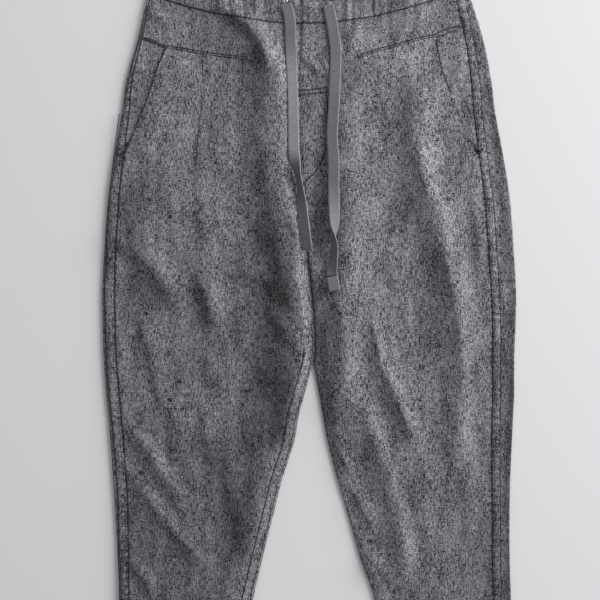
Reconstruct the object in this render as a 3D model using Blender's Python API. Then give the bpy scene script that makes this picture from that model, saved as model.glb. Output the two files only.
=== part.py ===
# Drawstring trousers laid flat on their back, seen from the front.
# Tapered legs, gathered waistband, slant pockets, felled side seams and two free tape ends.
# Sizes are in millimetres. "down" is the distance down the garment from the back waist edge,
# x runs from the trousers' edge on the left of the view to the one on the right, z is up.

import math
from collections import namedtuple

import bmesh
import bpy
from mathutils import Vector

MM = 0.001

LENGTH = 1019.0
WALL = 1.2
BAND_WALL = 2.4
SEAM_GAP = 0.3
EDGE_HOLLOW = 1.6
EDGE_RADIUS = WALL + EDGE_HOLLOW / 2
BAND_STEP = 1.2
BAND_RADIUS = EDGE_RADIUS + BAND_STEP / 2
CROWN = 2.6

BAND_HEIGHT = 34.0
WAIST_DIP = 37.0
DIP_FADE = 60.0
NOTCH_DEPTH = 7.0
NOTCH_MIDDLE = 9.0
NOTCH_HALF = 25.0
GATHERS = 30
GATHER_DEPTH = 0.7

CROTCH = 425.0
VALLEY_START = 345.0
INNER_BEND = 5.0
SEAT_ON_BACK = WALL + SEAM_GAP + 0.25

POCKET_TOP = {"left": (89.0, 101.6), "right": (76.6, 89.0)}
POCKET_FOOT = 245.5
FACING_FOOT = {"left": 224.0, "right": 236.0}
POCKET_MOUTH = 0.9
POCKET_STEP = 0.7

TAPE_WIDTH = 14.6
TAPE_THICK = 1.2
TAPE_CLEARANCE = 0.8
TAPE_STATIONS = 64
TAPE_STEP = 5.0

EYELET_X = -30.9
EYELET_DOWN = 42.6
EYELET_OUTER = 6.0
EYELET_WIRE = 1.7

Outline = namedtuple("Outline", "down left_edge left_inner legs_gap right_edge left_seam right_seam")

# One row for each level: the flat outline, the middle seam or inner leg edge, the gap between the
# legs, and how far each side seam lies in from its edge on the front.
OUTLINE = (
    Outline(0, -207.5, -11.9, 0.3, 198.5, 2.6, 18.5),
    Outline(40, -213.8, -11.9, 0.3, 213.8, 2.6, 20.7),
    Outline(92, -225.7, -12.3, 0.3, 229.7, 4.7, 23.8),
    Outline(145, -240.5, -12.5, 0.3, 240.2, 6.8, 26.4),
    Outline(185, -246.2, -12.0, 0.3, 245.0, 9.4, 28.0),
    Outline(238, -255.4, -11.2, 0.3, 254.8, 12.0, 31.7),
    Outline(304, -265.3, -8.0, 0.3, 265.3, 14.5, 34.0),
    Outline(370, -270.0, -2.6, 0.3, 270.0, 15.5, 34.0),
    Outline(425, -272.6, 3.2, 0.3, 273.2, 16.2, 33.5),
    Outline(462, -272.2, 6.4, 1.2, 272.7, 16.4, 31.5),
    Outline(502, -271.3, 7.9, 1.6, 271.0, 16.5, 29.7),
    Outline(535, -269.3, 4.6, 2.0, 270.6, 16.7, 29.2),
    Outline(561, -267.3, -2.6, 8.5, 270.6, 17.0, 29.0),
    Outline(587, -264.7, -13.2, 21.0, 269.3, 17.1, 28.2),
    Outline(620, -262.0, -20.5, 38.3, 267.7, 17.2, 27.0),
    Outline(673, -258.1, -35.6, 67.3, 265.3, 17.5, 24.3),
    Outline(726, -254.8, -48.8, 93.7, 264.4, 16.5, 23.1),
    Outline(779, -252.1, -62.0, 120.8, 264.7, 14.5, 23.4),
    Outline(832, -250.1, -74.2, 143.2, 266.2, 13.2, 23.7),
    Outline(924, -247.5, -93.0, 179.5, 266.6, 13.2, 23.0),
    Outline(1019, -245.5, -108.2, 213.8, 265.3, 13.2, 22.4),
)

# Levels of the panels' cross rows, closer together at the pockets and at the crotch.
LEVELS = (
    34.8, 55, 76.6, 89, 101.6, 125, 150, 180, 212, 238, 245.5, 270, 300, 330, 352, 375, 398, 413,
    425, 438, 455, 478, 502, 522, 545, 566, 590, 625, 665, 705, 745, 790, 840, 895, 955, 1019,
)

PocketPoint = namedtuple("PocketPoint", "down left_x right_x")

# The slanting pocket mouth of each front, from its top to its foot beside the side seam.
POCKET = (
    PocketPoint(89.0, -194.0, 167.6),
    PocketPoint(101.6, -188.8, 169.6),
    PocketPoint(132.0, -200.6, 176.0),
    PocketPoint(168.0, -212.0, 189.5),
    PocketPoint(197.0, -223.7, 201.0),
    PocketPoint(238.0, -241.0, 217.5),
    PocketPoint(245.5, -243.4, 221.0),
)

Fold = namedtuple("Fold", "name height spread path")

# Soft folds of the front, each a ridge along a path of (x, down) points.
FOLDS = (
    Fold("left inner thigh", 8.0, 24, ((-98, 79), (-62, 172), (-45, 304), (-25, 422), (-12, 560))),
    Fold("left hip", 2.4, 30, ((-185, 120), (-180, 240), (-170, 380), (-185, 500))),
    Fold("left shin", 5.5, 26, ((-168, 560), (-157, 700), (-157, 832), (-172, 1040))),
    Fold("right hip and knee", 6.5, 22, ((162, 92), (160, 211), (173, 304), (202, 409), (206, 502), (190, 660))),
    Fold("right inner thigh", 5.5, 19, ((48, 170), (44, 304), (51, 383), (57, 475), (65, 600))),
    Fold("right knee slant", 3.6, 12, ((87, 512), (107, 554), (127, 600), (153, 640))),
    Fold("right calf slant", 3.6, 14, ((68, 575), (80, 647), (100, 713), (112, 790))),
    Fold("right shin", 5.0, 27, ((150, 640), (172, 740), (180, 832), (186, 1040))),
)
FOLD_FADE = 55.0
FOLD_EDGE_FADE = 34.0

TapePoint = namedtuple("TapePoint", "x down turn lift")

# Routes of the two free tape ends. Turn is the tilt in degrees: at 90 the tape stands on its
# right edge, and past that it shows its other face.
LEFT_TAPE = (
    TapePoint(-31.0, 46.5, 0, 0),
    TapePoint(-27.2, 56.0, 0, 0),
    TapePoint(-25.0, 70.0, 0, 0),
    TapePoint(-23.8, 106.0, 0, 0),
    TapePoint(-21.3, 168.0, 0, 0),
    TapePoint(-19.5, 232.0, 4, 0.4),
    TapePoint(-17.2, 260.0, 42, 1.5),
    TapePoint(-12.2, 283.0, 92, 1.2),
    TapePoint(-10.6, 304.0, 136, 0.5),
    TapePoint(-8.9, 324.0, 136, 0),
    TapePoint(-6.6, 340.0, 127, 0),
    TapePoint(-4.2, 358.0, 118, 0),
    TapePoint(-2.6, 370.0, 114, 0),
)
RIGHT_TAPE = (
    TapePoint(25.4, 47.5, 0, 0),
    TapePoint(27.6, 58.0, 0, 0),
    TapePoint(31.4, 79.0, 0, 0),
    TapePoint(35.0, 106.0, 0, 0),
    TapePoint(33.2, 168.0, 0, 0),
    TapePoint(30.4, 222.0, 0, 0),
    TapePoint(32.2, 250.0, 0, 0),
    TapePoint(32.5, 290.0, 8, 0.3),
    TapePoint(33.2, 323.0, 50, 0.8),
    TapePoint(34.4, 348.0, 78, 0.8),
    TapePoint(34.0, 362.0, 104, 0.6),
    TapePoint(31.8, 380.0, 126, 0.3),
    TapePoint(29.0, 393.0, 150, 0.2),
    TapePoint(29.2, 399.0, 170, 0.2),
    TapePoint(30.2, 404.0, 180, 0.2),
)
TAB_START = (30.4, 404.9)
TAB_END = (33.8, 423.6)
TAB_THICK = 2.6


def clear_scene():
    for old in list(bpy.data.objects):
        bpy.data.objects.remove(old, do_unlink=True)


def ramp(value, start, end):
    share = min(1.0, max(0.0, (value - start) / (end - start)))
    return share * share * (3 - 2 * share)


def read_smooth(rows, column, down):
    """A column of a table at a level, on a smooth curve through its rows."""
    levels = [row.down for row in rows]
    values = [getattr(row, column) for row in rows]
    if down <= levels[0]:
        return values[0]
    if down >= levels[-1]:
        return values[-1]
    i = max(k for k in range(len(levels) - 1) if levels[k] <= down)
    step = levels[i + 1] - levels[i]
    slopes = []
    for k in (i, i + 1):
        low, high = max(0, k - 1), min(len(levels) - 1, k + 1)
        slopes.append((values[high] - values[low]) / (levels[high] - levels[low]))
    s = (down - levels[i]) / step
    return (
        values[i] * (1 + 2 * s) * (1 - s) ** 2
        + values[i + 1] * s * s * (3 - 2 * s)
        + step * slopes[0] * s * (1 - s) ** 2
        + step * slopes[1] * s * s * (s - 1)
    )


def edge_x(side, down):
    return read_smooth(OUTLINE, f"{side}_edge", down)


def seam_x(side, down):
    inwards = 1 if side == "left" else -1
    return edge_x(side, down) + inwards * read_smooth(OUTLINE, f"{side}_seam", down)


def band_seam_x(side, level):
    """The waistband's side seam, which stays clear of the turn at the edge."""
    inwards = 1 if side == "left" else -1
    offset = read_smooth(OUTLINE, f"{side}_seam", level)
    return edge_x(side, level) + inwards * max(offset, BAND_RADIUS + 1.2)


def inner_x(side, down):
    left = read_smooth(OUTLINE, "left_inner", down)
    return left if side == "left" else left + read_smooth(OUTLINE, "legs_gap", down)


def pocket_x(side, down):
    return read_smooth(POCKET, f"{side}_x", down)


def front_outer_x(side, level):
    """Where a front panel ends towards the side: at the side seam, or at the pocket mouth."""
    start, full = POCKET_TOP[side]
    if level <= start or level >= POCKET_FOOT:
        return seam_x(side, level)
    if level < full:
        share = (level - start) / (full - start)
        return seam_x(side, level) * (1 - share) + pocket_x(side, level) * share
    return pocket_x(side, level)


def waist_dip(x):
    """How far the front waist sags below the back one."""
    left, right = band_seam_x("left", 0), band_seam_x("right", 0)
    across = (2 * x - left - right) / (right - left)
    return WAIST_DIP * max(0.0, 1 - across * across)


def notch(x):
    away = abs(x - NOTCH_MIDDLE)
    return NOTCH_DEPTH * (1 - ramp(away, NOTCH_HALF - 3, NOTCH_HALF + 3))


def front_down(x, level):
    return level + waist_dip(x) * max(0.0, 1 - (level - BAND_HEIGHT) / DIP_FADE)


def fold_height(x, down):
    total = 0.0
    for fold in FOLDS:
        start, end = fold.path[0][1], fold.path[-1][1]
        ends = ramp(down, start - FOLD_FADE, start + FOLD_FADE)
        ends *= 1 - ramp(down, end - FOLD_FADE, end + FOLD_FADE)
        if ends == 0:
            continue
        points = [TapePoint(px, level, 0, 0) for px, level in fold.path]
        away = (x - read_smooth(points, "x", down)) / fold.spread
        total += fold.height * ends * math.exp(-away * away)
    return total


def legs_apart(down):
    return ramp(down, VALLEY_START, CROTCH)


def front_top(side, x, down):
    """Height of the front's outer face, without the bend down at the inner leg edge."""
    outer = edge_x(side, down)
    inner = inner_x(side, down)
    width = abs(inner - outer)
    out = max(0.0, abs(x - outer) - EDGE_RADIUS)
    into = max(0.0, abs(inner - x))
    share = min(1.0, out / (width - EDGE_RADIUS))
    apart = legs_apart(down)
    crown = (1 - (1 - share) ** 3) * (1 - apart * share**6)
    keep = ramp(out, 0, FOLD_EDGE_FADE) * (1 - apart * (1 - ramp(into, 0, FOLD_EDGE_FADE)))
    return 2 * EDGE_RADIUS + CROWN * crown + fold_height(x, down) * keep


def cloth_top(x, down):
    """The highest cloth at a place, waistband included, for what lies on it."""
    side = "left" if x < inner_x("left", down) + 0.1 else "right"
    height = front_top(side, x, down)
    past_band = down - BAND_HEIGHT - waist_dip(x)
    return height + (BAND_STEP + GATHER_DEPTH) * (1 - ramp(past_band, TAPE_STEP, 4 * TAPE_STEP))


def mix(a, b, share):
    return a + (b - a) * share


def material(name, colour, roughness, metallic=0.0):
    made = bpy.data.materials.new(name)
    made.use_nodes = True
    shader = made.node_tree.nodes["Principled BSDF"]
    shader.inputs["Base Color"].default_value = (*colour, 1)
    shader.inputs["Roughness"].default_value = roughness
    shader.inputs["Metallic"].default_value = metallic
    return made


def sheet(name, columns, rows, place, thickness, look, offset=-1):
    """A wall of cloth: a grid laid out by place(column, row), in mm, thickened inwards."""
    bm = bmesh.new()
    bmesh.ops.create_grid(bm, x_segments=columns, y_segments=rows, size=0.5)
    for vert in bm.verts:
        column = round((vert.co.x + 0.5) * columns)
        row = round((vert.co.y + 0.5) * rows)
        x, down, z = place(column, row)
        vert.co = Vector((x, LENGTH / 2 - down, z)) * MM
    mesh = bpy.data.meshes.new(name)
    bm.to_mesh(mesh)
    bm.free()
    mesh.materials.append(look)
    mesh.shade_smooth()
    made = bpy.data.objects.new(name, mesh)
    bpy.context.scene.collection.objects.link(made)
    wall = made.modifiers.new("Wall", "SOLIDIFY")
    wall.thickness = thickness * MM
    wall.offset = offset
    wall.use_even_offset = True
    return made


def front_panel(side, look):
    """From the side seam or pocket mouth to the middle seam or inner leg edge."""
    bend, across = 4, 13
    order = 1 if side == "left" else -1

    def place(column, row):
        level = LEVELS[row]
        k = bend + across - column if side == "right" else column
        inner = inner_x(side, level)
        outer = front_outer_x(side, level) + order * SEAM_GAP / 2
        apart = legs_apart(level)
        if k < bend:
            angle = math.pi / 2 * k / bend
            x = inner - order * INNER_BEND * (1 - math.cos(angle))
        else:
            angle = math.pi / 2
            x = mix(inner - order * INNER_BEND, outer, (k - bend) / across)
        down = front_down(x, level)
        top = front_top(side, x, down)
        low = mix(top, SEAT_ON_BACK, apart)
        return x, down, mix(low, top, math.sin(angle))

    return sheet(f"front_{side}", bend + across, len(LEVELS) - 1, place, WALL, look)


def back_panel(side, look):
    """From the side seam on the front, round the outer edge, and flat underneath to the middle."""
    over, bend, under = 3, 4, 4
    columns = over + bend + under
    order = 1 if side == "left" else -1

    def place(column, row):
        level = LEVELS[row]
        k = columns - column if side == "right" else column
        edge = edge_x(side, level)
        start = seam_x(side, level) - order * SEAM_GAP / 2
        turn = edge + order * EDGE_RADIUS
        if k <= over:
            x = mix(start, turn, k / over)
            return x, level, front_top(side, x, level)
        if k <= over + bend:
            angle = math.pi * (k - over) / bend
            x = turn - order * EDGE_RADIUS * math.sin(angle)
            return x, level, EDGE_RADIUS * (1 + math.cos(angle))
        x = mix(turn, inner_x(side, level), (k - over - bend) / under)
        return x, level, 0.0

    return sheet(f"back_{side}", columns, len(LEVELS) - 1, place, WALL, look)


def pocket_facing(side, look):
    """The piece seen beside the pocket mouth, set a little lower than the front."""
    columns = 3
    order = 1 if side == "left" else -1
    start, full = POCKET_TOP[side]
    foot = FACING_FOOT[side]
    levels = [full + 2.5, *(level for level in LEVELS if full < level < foot), foot]

    def place(column, row):
        k = columns - column if side == "left" else column
        share = k / columns
        level = levels[row - 1] if row else mix(start + 0.6, full + 0.9, share)
        outer = seam_x(side, level) + order * (SEAM_GAP + 0.3)
        mouth = pocket_x(side, level) - order * POCKET_MOUTH
        x = mix(outer, mouth, share)
        down = front_down(x, level)
        drop = POCKET_STEP * ramp(share, 0, 0.4)
        return x, down, front_top(side, x, down) - drop

    return sheet(f"pocket_facing_{side}", columns, len(levels), place, WALL, look)


def gather(x):
    """Height of the waistband's puckers: uneven waves, calm at the side seams."""
    left, right = band_seam_x("left", 0), band_seam_x("right", 0)
    share = (x - left) / (right - left)
    calm = math.sin(math.pi * min(1.0, max(0.0, share))) ** 0.5
    wave = math.sin(2 * math.pi * GATHERS * share + 1.3 * math.sin(11 * share))
    return GATHER_DEPTH * calm * wave


def front_waistband(look):
    columns, rows = 110, 2

    def place(column, row):
        level = BAND_HEIGHT * row / rows
        left = band_seam_x("left", level) + SEAM_GAP / 2
        right = band_seam_x("right", level) - SEAM_GAP / 2
        x = mix(right, left, column / columns)
        top = waist_dip(x) + notch(x)
        foot = BAND_HEIGHT + waist_dip(x)
        down = mix(top, foot, row / rows)
        side = "left" if x < inner_x("left", down) else "right"
        height = front_top(side, x, down) + BAND_STEP
        return x, down, height + gather(x)

    return sheet("waistband_front", columns, rows, place, BAND_WALL, look)


def back_waistband(look):
    """Flat underneath, and round both edges to the side seams on the front."""
    over, bend, under, rows = 2, 6, 8, 2
    columns = 2 * (over + bend) + under
    radius = BAND_RADIUS

    def place(column, row):
        down = mix(0, BAND_HEIGHT, row / rows)
        side = "left" if column <= columns / 2 else "right"
        order = 1 if side == "left" else -1
        k = column if side == "left" else columns - column
        edge = edge_x(side, down)
        start = band_seam_x(side, down) - order * SEAM_GAP / 2
        turn = edge + order * radius
        if k <= over:
            x = mix(start, turn, k / over)
            return x, down, front_top(side, x, down) + BAND_STEP
        if k <= over + bend:
            angle = math.pi * (k - over) / bend
            x = turn - order * radius * math.sin(angle)
            return x, down, radius * (1 + math.cos(angle))
        left_turn = edge_x("left", down) + radius
        right_turn = edge_x("right", down) - radius
        share = (column - over - bend) / under
        return mix(left_turn, right_turn, share), down, 0.0

    return sheet("waistband_back", columns, rows, place, BAND_WALL, look)


def tape_frames(route):
    """Middle point, sideways direction and up direction at each station of a tape."""
    frames = []
    levels = [point.down for point in route]
    for i in range(TAPE_STATIONS + 1):
        down = mix(levels[0], levels[-1], i / TAPE_STATIONS)
        x = read_smooth(route, "x", down)
        slope = read_smooth(route, "x", down + 0.5) - read_smooth(route, "x", down - 0.5)
        turn = math.radians(read_smooth(route, "turn", down))
        lift = read_smooth(route, "lift", down)
        along = Vector((slope, -1, 0)).normalized()
        level = Vector((-along.y, along.x, 0))
        sideways = level * math.cos(turn) - Vector((0, 0, math.sin(turn)))
        rest = max(
            cloth_top(x + k * sideways.x, down - k * sideways.y) - k * sideways.z
            for k in (-TAPE_WIDTH / 2, -TAPE_WIDTH / 4, 0, TAPE_WIDTH / 4, TAPE_WIDTH / 2)
        )
        height = rest + TAPE_CLEARANCE + TAPE_THICK / 2 + lift
        frames.append((Vector((x, down, height)), sideways))
    return frames


def tape(name, route, look):
    frames = tape_frames(route)

    def place(column, row):
        middle, sideways = frames[row]
        reach = (0.5 - column / 2) * TAPE_WIDTH
        return (
            middle.x + reach * sideways.x,
            middle.y - reach * sideways.y,
            middle.z + reach * sideways.z,
        )

    return sheet(name, 2, TAPE_STATIONS, place, TAPE_THICK, look, offset=0)


def tape_tab(look):
    """The right tape's end, folded back on itself and stitched flat."""
    start, end = Vector(TAB_START), Vector(TAB_END)
    along = (end - start).normalized()
    sideways = Vector((along.y, -along.x))
    height = TAPE_CLEARANCE + TAB_THICK / 2 + max(
        cloth_top(*(start + (end - start) * share + sideways * k))
        for share in (0, 0.5, 1)
        for k in (-TAPE_WIDTH / 2, 0, TAPE_WIDTH / 2)
    )

    def place(column, row):
        reach = (0.5 - column / 2) * TAPE_WIDTH
        point = start + (end - start) * (row / 4) + sideways * reach
        return point.x, point.y, height

    return sheet("tape_tab_right", 2, 4, place, TAB_THICK, look, offset=0)


def eyelet(look):
    """A small metal ring set on the waistband where the left tape comes out."""
    bm = bmesh.new()
    ring = (EYELET_OUTER - EYELET_WIRE) / 2
    height = cloth_top(EYELET_X, EYELET_DOWN) + SEAM_GAP + EYELET_WIRE / 2
    bmesh.ops.create_circle(bm, segments=8, radius=EYELET_WIRE / 2 * MM)
    for vert in bm.verts:
        vert.co = Vector((vert.co.x + ring * MM, 0, vert.co.y))
    bmesh.ops.spin(
        bm,
        geom=bm.edges[:],
        axis=(0, 0, 1),
        cent=(0, 0, 0),
        angle=2 * math.pi,
        steps=20,
        use_merge=True,
    )
    bmesh.ops.remove_doubles(bm, verts=bm.verts, dist=1e-6)
    bmesh.ops.recalc_face_normals(bm, faces=bm.faces)
    place = Vector((EYELET_X, LENGTH / 2 - EYELET_DOWN, height)) * MM
    bmesh.ops.translate(bm, verts=bm.verts, vec=place)
    mesh = bpy.data.meshes.new("eyelet_left")
    bm.to_mesh(mesh)
    bm.free()
    mesh.materials.append(look)
    mesh.shade_smooth()
    made = bpy.data.objects.new("eyelet_left", mesh)
    bpy.context.scene.collection.objects.link(made)
    return made


def main():
    clear_scene()
    chambray = material("chambray", (0.12, 0.12, 0.13), 0.9)
    tape_cloth = material("twill tape", (0.2, 0.18, 0.19), 0.85)
    metal = material("nickel", (0.7, 0.69, 0.67), 0.3, 1.0)
    for side in ("left", "right"):
        front_panel(side, chambray)
        back_panel(side, chambray)
        pocket_facing(side, chambray)
    front_waistband(chambray)
    back_waistband(chambray)
    tape("tape_left", LEFT_TAPE, tape_cloth)
    tape("tape_right", RIGHT_TAPE, tape_cloth)
    tape_tab(tape_cloth)
    eyelet(metal)


main()
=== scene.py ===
import math

import bmesh
import bpy
import numpy as np
from mathutils import Matrix, Vector, noise


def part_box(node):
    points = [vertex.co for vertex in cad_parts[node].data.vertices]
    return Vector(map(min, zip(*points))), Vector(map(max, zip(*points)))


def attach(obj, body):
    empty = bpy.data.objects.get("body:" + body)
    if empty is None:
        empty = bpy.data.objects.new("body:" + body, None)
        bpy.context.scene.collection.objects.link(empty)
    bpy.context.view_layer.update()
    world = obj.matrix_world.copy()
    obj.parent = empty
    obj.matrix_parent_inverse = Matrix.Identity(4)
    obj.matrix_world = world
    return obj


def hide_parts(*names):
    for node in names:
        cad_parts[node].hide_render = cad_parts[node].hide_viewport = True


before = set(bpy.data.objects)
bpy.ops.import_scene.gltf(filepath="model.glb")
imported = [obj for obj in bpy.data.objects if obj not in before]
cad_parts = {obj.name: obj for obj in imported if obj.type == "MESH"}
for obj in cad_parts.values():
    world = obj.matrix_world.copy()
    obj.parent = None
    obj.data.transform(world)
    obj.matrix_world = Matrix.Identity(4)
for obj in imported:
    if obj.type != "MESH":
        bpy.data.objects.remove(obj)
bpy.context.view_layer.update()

scene = bpy.context.scene
mm = 0.001

# Millimetres are used until a mesh is made: x across, down from the back waist edge, z up.
# Points marked as photo points are pixels of the photograph, which shows the trousers at this scale.
photo = {"scale": 1.32, "middle": 309, "waist": -30}

garment = {"length": 1019.0, "wall": 1.1, "seamGap": 0.15,
           "edgeRadius": 2.0, "crown": 2.6,  # the roll at the outer edges, and how far the middle stands above it
           "valleyStart": 345.0, "crotch": 425.0,  # where the legs start to part, and where they are apart
           "innerBend": 5.0, "seat": 1.75, "legSeamDip": 0.9, "legSeamReach": 2.2,
           "hemDepth": 24.0, "hemRise": 0.5,
           "least": 2.6, "leastFade": 0.4}  # the lowest that the outer face lies, and how softly that starts


def ramp(value, start, end):
    share = np.clip((value - start) / (end - start), 0, 1)
    return share * share * (3 - 2 * share)


def mix(a, b, share):
    return a + (b - a) * share


def readSmooth(rows, column, down):  # a column of a table, on a smooth curve through its rows
    levels, values = rows[:, 0], rows[:, column]
    down = np.clip(down, levels[0], levels[-1])
    i = np.clip(np.searchsorted(levels, down, side="right") - 1, 0, len(levels) - 2)
    low, high = np.maximum(i - 1, 0), np.minimum(i + 2, len(levels) - 1)
    step = levels[i + 1] - levels[i]
    slopeA = (values[i + 1] - values[low]) / (levels[i + 1] - levels[low])
    slopeB = (values[high] - values[i]) / (levels[high] - levels[i])
    s = (down - levels[i]) / step
    return (values[i] * (1 + 2 * s) * (1 - s) ** 2 + values[i + 1] * s * s * (3 - 2 * s)
            + step * slopeA * s * (1 - s) ** 2 + step * slopeB * s * s * (s - 1))


def noiseAt(x, y, seed):
    x, y = np.broadcast_arrays(np.asarray(x, float), np.asarray(y, float))
    values = [noise.noise(Vector((a, b, seed))) for a, b in zip(x.ravel().tolist(), y.ravel().tolist())]
    return np.array(values).reshape(x.shape)


def fromPhoto(points):
    return [((px - photo["middle"]) * photo["scale"], (py - photo["waist"]) * photo["scale"]) for px, py in points]


def alongPath(x, down, path):  # distance to a path, that distance with its side's sign, and place along the path
    best = np.full(np.shape(x), 1e9)
    signed = np.zeros(np.shape(x))
    place = np.zeros(np.shape(x))
    total = 0.0
    for (ax, ay), (bx, by) in zip(path, path[1:]):
        length = max(1e-6, math.hypot(bx - ax, by - ay))
        ux, uy = (bx - ax) / length, (by - ay) / length
        t = np.clip((x - ax) * ux + (down - ay) * uy, 0, length)
        dx, dy = x - ax - t * ux, down - ay - t * uy
        away = np.hypot(dx, dy)
        nearer = away < best
        best = np.where(nearer, away, best)
        signed = np.where(nearer, away * np.sign(dx * uy - dy * ux), signed)
        place = np.where(nearer, total + t, place)
        total += length
    return best, signed, place, total


# The outline of the trousers as they lie: the CAD model's rows, with the inner edges below the crotch
# moved by up to 18 mm, as the photograph shows them.
outlineRows = np.array([
    # down, left edge, left inner, gap between legs, right edge, left side seam, right side seam
    (0, -207.5, -11.9, 0.3, 198.5, 2.6, 18.5),
    (40, -213.8, -11.9, 0.3, 213.8, 2.6, 20.7),
    (92, -225.7, -12.3, 0.3, 229.7, 4.7, 23.8),
    (145, -240.5, -12.5, 0.3, 240.2, 6.8, 26.4),
    (185, -246.2, -12.0, 0.3, 245.0, 9.4, 28.0),
    (238, -255.4, -11.2, 0.3, 254.8, 12.0, 31.7),
    (304, -265.3, -8.0, 0.3, 265.3, 14.5, 34.0),
    (370, -270.0, -2.6, 0.3, 270.0, 15.5, 34.0),
    (425, -272.6, 3.2, 0.3, 273.2, 16.2, 33.5),
    (462, -272.2, 6.4, 0.3, 272.7, 16.4, 31.5),
    (502, -271.3, 7.9, 0.3, 271.0, 16.5, 29.7),
    (519, -270.3, 5.6, 0.4, 270.8, 16.6, 29.4),
    (535, -269.3, 0.8, 8.0, 270.6, 16.7, 29.2),
    (561, -267.3, -6.2, 19.6, 270.6, 17.0, 29.0),
    (587, -264.7, -13.5, 31.4, 269.3, 17.1, 28.2),
    (620, -262.0, -19.0, 43.0, 267.7, 17.2, 27.0),
    (673, -258.1, -35.6, 73.2, 265.3, 17.5, 24.3),
    (726, -254.8, -48.8, 102.4, 264.4, 16.5, 23.1),
    (779, -252.1, -62.0, 130.5, 264.7, 14.5, 23.4),
    (832, -250.1, -74.2, 161.0, 266.2, 13.2, 23.7),
    (924, -247.5, -93.0, 192.0, 266.6, 13.2, 23.0),
    (1019, -245.5, -108.2, 213.8, 265.3, 13.2, 22.4),
], float)
outlineColumns = ("leftEdge", "leftInner", "legsGap", "rightEdge", "leftSeam", "rightSeam")


def outline(name, down):
    return readSmooth(outlineRows, 1 + outlineColumns.index(name), down)


def modelY(down):
    return garment["length"] / 2 - down


def inwards(side):
    return 1 if side == "left" else -1


def edgeX(side, down):
    return outline(side + "Edge", down)


def seamX(side, down):
    return edgeX(side, down) + inwards(side) * outline(side + "Seam", down)


def innerX(side, down):
    left = outline("leftInner", down)
    return left if side == "left" else left + outline("legsGap", down)


band = {"height": 34.0, "dip": 37.0, "dipFade": 60.0, "step": 1.2, "wall": 2.2, "radius": 2.6, "seamLeast": 3.8,
        "notch": 7.0, "notchMiddle": 9.0, "notchHalf": 25.0, "notchSoft": 3, "roll": 0.8, "backGather": 0.25,
        "gatherDepth": 1.5, "gatherPitch": 9.0, "gatherReach": 26.0, "gathered": 1.25}


def bandSeamX(side, down):
    return edgeX(side, down) + inwards(side) * np.maximum(outline(side + "Seam", down), band["seamLeast"])


def waistDip(x):  # how far the front waist sags below the back one
    left, right = bandSeamX("left", 0.0), bandSeamX("right", 0.0)
    across = (2 * x - left - right) / (right - left)
    return band["dip"] * np.maximum(0.0, 1 - across * across)


def frontDown(x, level):
    return level + waistDip(x) * np.maximum(0.0, 1 - (level - band["height"]) / band["dipFade"])


# Broad folds of the fronts, close to the CAD model's: height, spread, lean, then (x, down) points. A lean of
# 0.5 makes the left flank half as wide again and the right one half as wide.
broadFolds = [
    (12, 29, 0.42, [(-74, 85), (-50, 120), (-37, 160), (-38, 211), (-38, 264), (-23, 340), (-13, 400),
                    (-9, 462), (-11, 560)]),  # left inner thigh
    (4.8, 24, 0.3, [(-30, 540), (-46, 620), (-66, 700), (-92, 800), (-115, 920), (-126, 1040)]),  # left inner calf
    (3.4, 30, 0, [(-185, 120), (-180, 240), (-170, 380), (-185, 500)]),  # left hip
    (5.5, 32, 0.2, [(-172, 560), (-164, 700), (-166, 832), (-176, 1040)]),  # left shin
    (10.5, 23, 0.15, [(146, 150), (145, 211), (157, 304), (190, 409), (198, 502), (190, 660)]),  # right hip and knee
    (8, 19, 0.1, [(48, 170), (44, 304), (46, 383), (45, 475), (49, 600)]),  # right inner thigh
    (4.2, 12, 0, [(87, 512), (107, 554), (127, 600), (153, 640)]),  # right knee slant
    (6, 17, 0.3, [(66, 560), (94, 640), (116, 713), (126, 800)]),  # right calf slant
    (5, 27, 0.2, [(150, 640), (172, 740), (180, 832), (186, 1040)]),  # right shin
]
foldFade = {"ends": 55.0, "outer": 34.0, "inner": 15.0}  # how softly folds start at their ends and the legs' edges
creaseFade = {"outer": (-1, 9), "inner": (0, 10), "innerKeep": 0.2, "endKeep": 0.2, "endShare": 0.35}

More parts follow.
